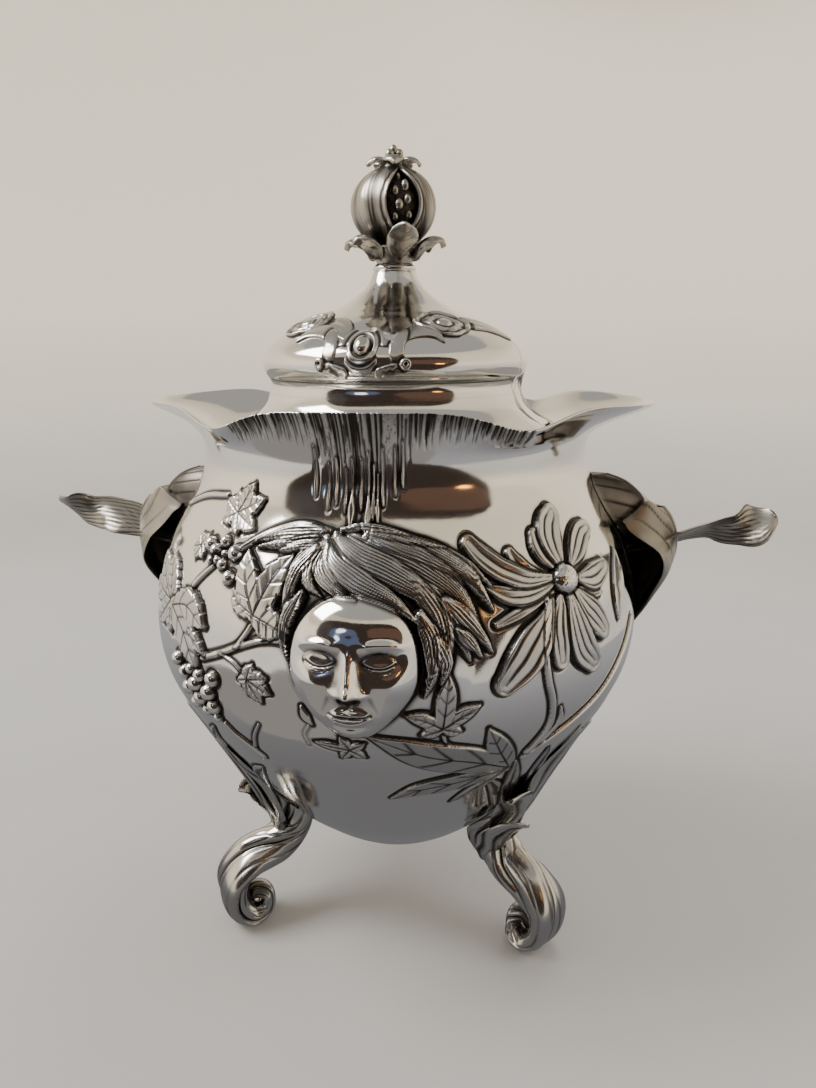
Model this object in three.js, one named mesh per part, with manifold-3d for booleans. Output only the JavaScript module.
// Lidded serving bowl in silver plate, Art Nouveau style: a die-struck egg-shaped bowl on three
// cast scroll legs, two leaf handles, and a lift-off lid with a pomegranate finial.
// Millimetres, +Z up. The origin is on the table under the bowl's axis and -Y is the front.
import * as THREE from "three";
import { mergeVertices } from "three/addons/utils/BufferGeometryUtils.js";
import Module from "manifold-3d";

const wasm = await Module();
wasm.setup();

// ---- driving dimensions -------------------------------------------------------------------
const WALL = 1.6; // bowl sheet
const LID_WALL = 1.4; // lid sheet
const GAP = 0.3; // clearance between touching pieces
const AROUND = 48; // facets round the axis

const NECK_Z = 242; // narrowest height of the bowl
const RIM_Z = 265; // mean height of the rim edge
const RIM_WAVE_FROM = 249; // the rim starts to wave above this height
const LIP_REACH = 22; // how far the two side lips run past the round rim
const LIP_SPREAD = 24; // degrees
const RIM_CREST = 3.4; // front and rear crest above the mean rim
const RIM_DIP = 8.6; // depth of the four dips below the crest
const DIP_AZIMUTH = 41; // degrees either side of front and rear
const DIP_SPREAD = 13.5; // degrees

const MASK_AZIMUTH = 2; // degrees
const MASK_Z = 178;
const MASK_REACH = 15; // how far the mask's mound stands off the bowl
const MASK_HALF_WIDTH = 33;
const MASK_HALF_HEIGHT = 43;

const LEG_AZIMUTHS = { front_left: -60, front_right: 60, rear: 180 };
const HANDLE_AZIMUTHS = { left: -90, right: 90 };

const SKIRT_Z = 248.4; // lower edge of the lid, inside the neck's flare
const LID_TOP_Z = 325; // flat top of the lid's neck
const STUD_R = 2.5;
const STUD_HOLE_R = 2.8;
const NOTCH_AZIMUTH = 80; // ladle notch in the lid's skirt
const NOTCH_R = 11;

const HUSK_Z = 353; // centre of the pomegranate
const HUSK_R = 19.5;
const HUSK_HALF_HEIGHT = 18;
const HUSK_WALL = 2.2;
const SPLIT_AZIMUTH = 22; // the husk has burst open on this side

// radius and height along the outside of the bowl, from the foot upward
const BOWL_OUTSIDE = [
  [0, 35.5], [16, 36.4], [29, 41.2], [41, 48.8], [53, 58.5], [66, 70.5], [77.5, 85],
  [88.2, 100], [99, 115], [108.8, 130], [115.2, 145], [117.8, 160], [117.2, 175], [114.2, 190],
  [108.6, 205], [100.4, 219], [94.2, 231], [91.3, NECK_Z], [92.3, 251], [95.8, 259],
  [99.6, RIM_Z],
];

// radius and height along the outside of the lid, from the skirt's edge upward
const LID_OUTSIDE = [
  [89.9, SKIRT_Z], [82, 252], [73.6, 256.8], [66.4, 261], [62, 265.5], [60, 270.5],
  [59.3, 275], [61.2, 279], [62.9, 284.5], [61.6, 289.5], [56.2, 295], [48.6, 299.4],
  [40, 303.4], [31, 307], [23.4, 310.6], [17, 315], [12.6, 319.4], [10, LID_TOP_Z],
];

// ---- helpers --------------------------------------------------------------------------------
const degrees = THREE.MathUtils.degToRad;
const smooth = THREE.MathUtils.smoothstep;

// a point in the plane that faces azimuth 0: sideways, out from the axis, and up
const place = (sideways, out, up) => new THREE.Vector3(sideways, -out, up);

function weld(geometry) {
  const bare = geometry.index ? geometry.toNonIndexed() : geometry.clone();
  bare.deleteAttribute("normal");
  bare.deleteAttribute("uv");
  const merged = mergeVertices(bare, 1e-4);
  const index = merged.index.array;
  const kept = [];
  const [a, b, c] = [new THREE.Vector3(), new THREE.Vector3(), new THREE.Vector3()];
  let volume = 0;
  for (let i = 0; i < index.length; i += 3) {
    const corners = [index[i], index[i + 1], index[i + 2]];
    if (new Set(corners).size < 3) continue;
    kept.push(...corners);
    [a, b, c].forEach((v, k) => v.fromBufferAttribute(merged.attributes.position, corners[k]));
    volume += a.dot(b.cross(c));
  }
  if (volume < 0) kept.reverse();
  merged.setIndex(kept);
  return merged;
}

function solid(geometry) {
  const welded = weld(geometry);
  const vertProperties = new Float32Array(welded.attributes.position.array);
  const triVerts = new Uint32Array(welded.index.array);
  return new wasm.Manifold(new wasm.Mesh({ numProp: 3, vertProperties, triVerts }));
}

function geometryOf(manifold) {
  const mesh = manifold.getMesh();
  const geometry = new THREE.BufferGeometry();
  geometry.setAttribute("position", new THREE.BufferAttribute(mesh.vertProperties, 3));
  geometry.setIndex(new THREE.BufferAttribute(mesh.triVerts, 1));
  return geometry;
}

const joined = (solids) => solids.reduce((whole, piece) => whole.add(piece));

// turn about the axis by an azimuth in degrees
const turned = (geometry, azimuth) => geometry.clone().rotateZ(degrees(azimuth));

function revolve(profile, segments = AROUND) {
  const points = profile.map(([radius, height]) => new THREE.Vector2(radius, height));
  return new THREE.LatheGeometry(points, segments).rotateX(Math.PI / 2);
}

function sampled(profile, count) {
  const curve = new THREE.SplineCurve(profile.map(([r, z]) => new THREE.Vector2(r, z)));
  return curve.getSpacedPoints(count).map((p) => [Math.max(p.x, 0), p.y]);
}

// the profile moved sideways by a distance: positive goes out of the sheet
function offset(profile, distance) {
  return profile.map(([r, z], i) => {
    const [r0, z0] = profile[Math.max(i - 1, 0)];
    const [r1, z1] = profile[Math.min(i + 1, profile.length - 1)];
    const length = Math.hypot(r1 - r0, z1 - z0);
    const moved = r + (distance * (z1 - z0)) / length;
    return [i === 0 && r === 0 ? 0 : Math.max(moved, 0), z - (distance * (r1 - r0)) / length];
  });
}

// a value that passes smoothly through the given evenly spaced stations
function stations(values) {
  const curve = new THREE.SplineCurve(values.map((v, i) => new THREE.Vector2(i, v)));
  return (t) => curve.getPoint(t).y;
}

// a strap of oval section along a path. Its width starts square to the path's plane of azimuth 0
// and rolls about the path; cup bends the section's two sides toward its normal, which is inward where
// the path climbs and upward where it runs out.
function strap({ path, halfWidth, halfThickness, roll = [0, 0], cup = [0, 0], rings, sides = 8, grow = 0 }) {
  const curve = new THREE.CatmullRomCurve3(path);
  const width = stations(halfWidth);
  const thickness = stations(halfThickness);
  const turn = stations(roll);
  const bend = stations(cup);
  const geometry = new THREE.CylinderGeometry(1, 1, 1, sides, rings);
  const position = geometry.attributes.position;
  const sideways = new THREE.Vector3();
  const normal = new THREE.Vector3();
  const spot = new THREE.Vector3();
  for (let i = 0; i < position.count; i += 1) {
    const t = 0.5 - position.getY(i);
    const tangent = curve.getTangent(t);
    normal.copy(tangent).cross(sideways.set(1, 0, 0)).normalize();
    sideways.copy(normal).cross(tangent);
    const angle = degrees(turn(t));
    normal.applyAxisAngle(tangent, angle);
    sideways.applyAxisAngle(tangent, angle);
    const across = position.getX(i);
    const lift = position.getZ(i) * (thickness(t) + grow) + bend(t) * across * across;
    spot.copy(curve.getPoint(t));
    spot.addScaledVector(sideways, across * (width(t) + grow));
    spot.addScaledVector(normal, lift);
    position.setXYZ(i, spot.x, spot.y, spot.z);
  }
  return geometry;
}

function ball(radius, centre, scale = [1, 1, 1], detail = [10, 6]) {
  const geometry = new THREE.SphereGeometry(radius, ...detail);
  return geometry.scale(...scale).translate(...centre.toArray());
}

// ---- finishes -------------------------------------------------------------------------------
const FINISH = {
  polished_silver: { color: 0xe9e6de, roughness: 0.12, metalness: 1 },
  cast_silver: { color: 0xcfcac0, roughness: 0.2, metalness: 1 },
  dark_silver: { color: 0x8a857c, roughness: 0.3, metalness: 1 },
  brass: { color: 0xb59a56, roughness: 0.35, metalness: 1 },
};

const group = new THREE.Group();

function piece(name, geometry, finish) {
  const mesh = new THREE.Mesh(geometry, new THREE.MeshStandardMaterial(FINISH[finish]));
  mesh.name = name;
  mesh.geometry.computeVertexNormals();
  group.add(mesh);
}

// ---- bowl -----------------------------------------------------------------------------------
// rim radius and height above the plain revolved rim, for an azimuth in degrees
function rimShape(azimuth) {
  const folded = Math.abs(((azimuth % 180) + 180) % 180 - 90); // 0 at the lips, 90 front and rear
  const fromFront = 90 - folded;
  const lip = LIP_REACH * Math.exp(-((folded / LIP_SPREAD) ** 2));
  const dip = RIM_DIP * Math.exp(-(((fromFront - DIP_AZIMUTH) / DIP_SPREAD) ** 2));
  return { out: lip, up: RIM_CREST - dip - 2.9 * smooth(fromFront, 45, 90) };
}

function maskMound(azimuth, z) {
  const across = (degrees(azimuth - MASK_AZIMUTH) * 118) / MASK_HALF_WIDTH;
  const along = (z - MASK_Z) / MASK_HALF_HEIGHT;
  const reach = Math.min(across * across + along * along, 1);
  return MASK_REACH * (1 - reach) ** 2;
}

function bendBowl(geometry) {
  const position = geometry.attributes.position;
  for (let i = 0; i < position.count; i += 1) {
    const [x, y, z] = [position.getX(i), position.getY(i), position.getZ(i)];
    const radius = Math.hypot(x, y);
    if (radius < 1) continue;
    const azimuth = THREE.MathUtils.radToDeg(Math.atan2(x, -y));
    const flare = smooth(z, RIM_WAVE_FROM, RIM_Z);
    const rim = rimShape(azimuth);
    const bent = radius + rim.out * flare ** 1.5 + maskMound(azimuth, z);
    position.setXYZ(i, (x * bent) / radius, (y * bent) / radius, z + rim.up * flare);
  }
  return geometry;
}

const bowlOutside = sampled(BOWL_OUTSIDE, 18);
const bowlInside = offset(bowlOutside, -WALL);
bowlInside[0] = [0, bowlOutside[0][1] + WALL];
piece("bowl_shell", weld(bendBowl(revolve([...bowlOutside, ...bowlInside.reverse()]))), "polished_silver");

// everything that is soldered on is fitted to this solid, a gap larger than the bowl
const bowlBody = solid(bendBowl(revolve([...offset(bowlOutside, GAP), [0, RIM_Z]])));

// ---- legs -----------------------------------------------------------------------------------
const LEG_LEAF = {
  path: [
    place(3, 72, 58), place(3.5, 76, 72), place(2, 85.5, 90), place(0, 97, 108), place(-1, 107.5, 124),
  ],
  halfWidth: [4, 11, 14.5, 11, 0.8],
  halfThickness: [1.8, 2.4, 2.4, 2, 0.8],
  cup: [1, 1.5, 1.8, 1.2, 0],
  rings: 10,
};

const legScroll = strap({
  path: [
    place(0, 93, 104), place(0, 77, 84), place(0, 62, 67), place(0, 58.5, 53), place(0, 68, 42),
    place(0, 83, 35), place(0, 91.8, 23), place(0, 89.6, 9.6), place(0, 82.5, 4), place(0, 75.6, 7.6),
    place(0, 76.4, 14.8), place(0, 82, 16.4),
  ],
  halfWidth: [9, 12, 10.5, 9.4, 9.4, 11, 12.6, 12.4, 11.6, 10, 8, 6],
  halfThickness: [3.5, 5.5, 8, 8.8, 8.6, 7.8, 6.6, 5.6, 5.5, 4.2, 3.2, 2.4],
  rings: 24,
});
const floorSlab = solid(new THREE.BoxGeometry(400, 400, 40).translate(0, 0, -20));

for (const [name, azimuth] of Object.entries(LEG_AZIMUTHS)) {
  const leaf = solid(turned(strap(LEG_LEAF), azimuth)).subtract(bowlBody);
  const leafRoom = solid(turned(strap({ ...LEG_LEAF, grow: GAP }), azimuth));
  const scroll = solid(turned(legScroll, azimuth)).subtract(bowlBody).subtract(floorSlab);
  piece(`leg_${name}`, geometryOf(scroll.subtract(leafRoom)), "cast_silver");
  piece(`leg_${name}_leaf`, geometryOf(leaf), "cast_silver");
}

// ---- handles --------------------------------------------------------------------------------
const HANDLE_BLADE = {
  path: [
    place(0, 108, 194), place(0, 120, 197), place(0, 132, 201), place(0, 143, 205),
    place(0, 153, 207), place(0, 163, 206.5), place(0, 173, 208), place(0, 181.3, 211),
  ],
  halfWidth: [7, 8, 10, 13.5, 11, 7.5, 11, 2.5],
  halfThickness: [1.8, 1.8, 1.8, 1.6, 1.6, 1.8, 1.5, 1],
  roll: [-20, -20, -20, -22, -38, -85, -135, -150],
  rings: 18,
};
const HANDLE_SHEATH = {
  path: [
    place(0, 117, 159), place(0, 126, 173), place(0, 133, 186), place(0, 135.5, 197),
    place(0, 134, 207), place(0, 130, 215), place(0, 124, 221),
  ],
  halfWidth: [5, 9.5, 13, 15, 14.5, 10, 2],
  halfThickness: [2.6, 3, 3.2, 3.4, 3.2, 2.4, 1],
  cup: [1, 2, 5, 14, 22, 13, 2],
  rings: 14,
  sides: 12,
};
const HANDLE_BRACT = {
  path: [
    place(0, 111, 200), place(0, 119, 209), place(0, 118.5, 219), place(0, 111, 227.5), place(0, 100.5, 232),
  ],
  halfWidth: [6, 12, 12.5, 9, 1.5],
  halfThickness: [1.8, 1.8, 1.8, 1.6, 0.8],
  cup: [2, 7, 9, 6, 0],
  rings: 10,
};

for (const [name, azimuth] of Object.entries(HANDLE_AZIMUTHS)) {
  const bladeRoom = solid(turned(strap({ ...HANDLE_BLADE, grow: GAP }), azimuth));
  const blade = solid(turned(strap(HANDLE_BLADE), azimuth)).subtract(bowlBody);
  const sheath = solid(turned(strap(HANDLE_SHEATH), azimuth)).subtract(bowlBody).subtract(bladeRoom);
  const bract = solid(turned(strap(HANDLE_BRACT), azimuth)).subtract(bowlBody).subtract(bladeRoom);
  piece(`handle_${name}_blade`, geometryOf(blade), "cast_silver");
  piece(`handle_${name}_sheath`, geometryOf(sheath), "cast_silver");
  piece(`handle_${name}_bract`, geometryOf(bract), "dark_silver");
}

// ---- lid ------------------------------------------------------------------------------------
const lidOutside = sampled(LID_OUTSIDE, 13);
const lidInside = offset(lidOutside, -LID_WALL);
lidInside[0][1] = SKIRT_Z;
lidInside[lidInside.length - 1][1] = LID_TOP_Z - LID_WALL;
const lidLoop = [
  ...lidOutside, [STUD_HOLE_R, LID_TOP_Z], [STUD_HOLE_R, LID_TOP_Z - LID_WALL],
  ...lidInside.reverse(), lidOutside[0],
];
const notch = new THREE.CylinderGeometry(NOTCH_R, NOTCH_R, 30, 24).rotateX(Math.PI / 2);
notch.translate(0, -(lidOutside[0][0] - 1), SKIRT_Z);
const lidShell = solid(revolve(lidLoop)).subtract(solid(turned(notch, NOTCH_AZIMUTH)));
piece("lid_shell", geometryOf(lidShell), "polished_silver");

// the ornaments are fitted to this solid, a gap larger than the lid
const lidBody = solid(revolve([[0, SKIRT_Z], ...offset(lidOutside, GAP), [0, LID_TOP_Z + GAP]]));

// height of the lid's outside at a radius above the shoulder
function lidHeight(radius) {
  const above = LID_OUTSIDE.filter(([, z]) => z >= 284);
  const next = above.findIndex(([r]) => r < radius);
  const [[r0, z0], [r1, z1]] = [above[next - 1], above[next]];
  return z0 + ((z1 - z0) * (r0 - radius)) / (r0 - r1);
}

function emblem() {
  const collet = revolve([[0, -4], [7.4, -4], [7.7, 0.4], [6.6, 1.6], [5.2, 0.8], [4.6, -0.6], [0, -0.6]], 14);
  collet.rotateX(degrees(55)).translate(...place(0, 60.2, 292.3).toArray());
  const plaque = ball(7, place(0, 60.5, 284.5), [1.15, 0.42, 0.75], [8, 5]);
  const bead = ball(4, place(0, 61.2, 293), [1, 1, 1], [8, 5]);
  const horns = [-1, 1].map((side) => strap({
    path: [
      place(side * 5, 62.5, 283), place(side * 15, 62.2, 284), place(side * 18, 58.8, 291),
      place(side * 24, 52, 297), place(side * 33, 46.5, 297),
    ],
    halfWidth: [3, 2.6, 2.6, 2.2, 1],
    halfThickness: [2, 2.2, 2.2, 2, 1.4],
    rings: 5,
    sides: 6,
  }));
  return joined([collet, plaque, bead, ...horns].map(solid));
}

function poppy() {
  const radius = 47;
  const centre = place(0, radius, lidHeight(radius) + 0.4);
  const slope = degrees(30);
  const ring = new THREE.TorusGeometry(9, 1.6, 6, 16).scale(1.35, 0.8, 1);
  ring.rotateX(slope).translate(...centre.toArray());
  const petals = new THREE.SphereGeometry(9, 12, 6).scale(1.3, 0.78, 0.28);
  petals.rotateX(slope).translate(...centre.toArray());
  return joined([ring, petals].map(solid));
}

const EMBLEM_AZIMUTHS = { front: -4, rear: 176 };
const POPPY_AZIMUTHS = { front_left: -48, front_right: 36, rear_right: 132, rear_left: -144 };
for (const [name, azimuth] of Object.entries(EMBLEM_AZIMUTHS)) {
  const turnedEmblem = emblem().rotate([0, 0, azimuth]);
  piece(`lid_emblem_${name}`, geometryOf(turnedEmblem.subtract(lidBody)), "cast_silver");
}
for (const [name, azimuth] of Object.entries(POPPY_AZIMUTHS)) {
  const turnedPoppy = poppy().rotate([0, 0, azimuth]);
  piece(`lid_poppy_${name}`, geometryOf(turnedPoppy.subtract(lidBody)), "cast_silver");
}

// ---- finial ---------------------------------------------------------------------------------
const collarZ = LID_TOP_Z + GAP;
const collar = [
  [STUD_HOLE_R, collarZ], [9.8, collarZ], [10.4, collarZ + 1.2], [9.8, collarZ + 2.4], [8.6, collarZ + 3],
  [STUD_HOLE_R, collarZ + 3], [STUD_HOLE_R, collarZ],
];
piece("finial_collar", weld(revolve(collar, 24)), "polished_silver");

const calyxZ = collarZ + 3 + GAP;
const calyxCup = revolve([
  [0, calyxZ], [8.4, calyxZ], [10.2, calyxZ + 3.4], [13.5, calyxZ + 6.4], [11.2, calyxZ + 7.4], [0, calyxZ + 6],
], 20);
const calyxPetal = strap({
  path: [place(0, 8.5, calyxZ + 3.6), place(0, 14, calyxZ + 8), place(0, 19.5, calyxZ + 10.2), place(0, 24.4, calyxZ + 6.6)],
  halfWidth: [5, 7.4, 6.4, 0.8],
  halfThickness: [1.5, 1.1, 0.9, 0.5],
  rings: 6,
  sides: 6,
});
const PETALS = 6;
const huskRoom = solid(ball(HUSK_R + GAP, place(0, 0, HUSK_Z), [1, 1, HUSK_HALF_HEIGHT / HUSK_R], [20, 12]));
const studHole = solid(new THREE.CylinderGeometry(STUD_HOLE_R, STUD_HOLE_R, 60, 16)
  .rotateX(Math.PI / 2).translate(0, 0, calyxZ));
const petalRing = Array.from({ length: PETALS }, (_, k) => turned(calyxPetal, 22 + (k * 360) / PETALS));
const calyx = joined([calyxCup, ...petalRing].map(solid)).subtract(huskRoom).subtract(studHole);
piece("finial_calyx", geometryOf(calyx), "cast_silver");

const huskScale = [1, 1, HUSK_HALF_HEIGHT / HUSK_R];
const coreR = HUSK_R - HUSK_WALL;
const splitWedge = turned(ball(11, place(0, HUSK_R, HUSK_Z + 1), [0.95, 1.1, 1.45], [14, 8]), SPLIT_AZIMUTH);
const crownZ = HUSK_Z + HUSK_HALF_HEIGHT;
const topFlat = solid(new THREE.BoxGeometry(60, 60, 10).translate(0, 0, crownZ + 4.6));
const husk = solid(ball(HUSK_R, place(0, 0, HUSK_Z), huskScale, [20, 12]))
  .subtract(solid(ball(coreR + GAP, place(0, 0, HUSK_Z), huskScale, [20, 12])))
  .subtract(solid(splitWedge)).subtract(studHole).subtract(topFlat);
piece("finial_husk", geometryOf(husk), "dark_silver");

// seeds sit on the core in staggered rows behind the split
const seedRows = [[-9, 2], [-4.5, 3], [0, 2], [4.5, 3], [9, 2]];
const seeds = seedRows.flatMap(([up, count]) => Array.from({ length: count }, (_, k) => {
  const azimuth = SPLIT_AZIMUTH + (k - (count - 1) / 2) * 17;
  const out = coreR * Math.sqrt(1 - (up / HUSK_HALF_HEIGHT) ** 2) - 0.4;
  return turned(ball(2.3, place(0, out, HUSK_Z + up), [1, 1, 1], [6, 5]), azimuth);
}));
const core = solid(ball(coreR, place(0, 0, HUSK_Z), huskScale, [20, 12])).subtract(studHole);
const seedCore = joined([core, ...seeds.map(solid)]);
piece("finial_seeds", geometryOf(seedCore.subtract(husk)), "polished_silver");

const crownPetal = strap({
  path: [place(0, 3, crownZ + 1.6), place(0, 7.5, crownZ + 4), place(0, 13.4, crownZ + 2.4)],
  halfWidth: [2.6, 3.8, 0.6],
  halfThickness: [1.4, 1.1, 0.5],
  rings: 4,
  sides: 6,
});
const crownPetals = Array.from({ length: 5 }, (_, k) => turned(crownPetal, 10 + k * 72));
const crownCap = revolve([[0, crownZ - 0.1], [6, crownZ - 0.1], [5, crownZ + 3], [0, crownZ + 4]], 16);
const knob = ball(3.6, place(0, 0, crownZ + 5.6), [1, 1, 1], [10, 6]);
piece("finial_crown", geometryOf(joined([crownCap, ...crownPetals, knob].map(solid))), "cast_silver");

// ---- fastening ------------------------------------------------------------------------------
const studTop = calyxZ + 14;
const studBottom = LID_TOP_Z - 11;
const stud = new THREE.CylinderGeometry(STUD_R, STUD_R, studTop - studBottom, 16);
stud.rotateX(Math.PI / 2).translate(0, 0, (studTop + studBottom) / 2);
piece("finial_stud", weld(stud), "brass");

const NUT_HEIGHT = 4;
const nutTop = LID_TOP_Z - LID_WALL - GAP;
const nut = new THREE.CylinderGeometry(5.2, 5.2, NUT_HEIGHT, 6).rotateX(Math.PI / 2);
nut.translate(0, 0, nutTop - NUT_HEIGHT / 2);
piece("finial_nut", geometryOf(solid(nut).subtract(studHole)), "brass");

export default group;
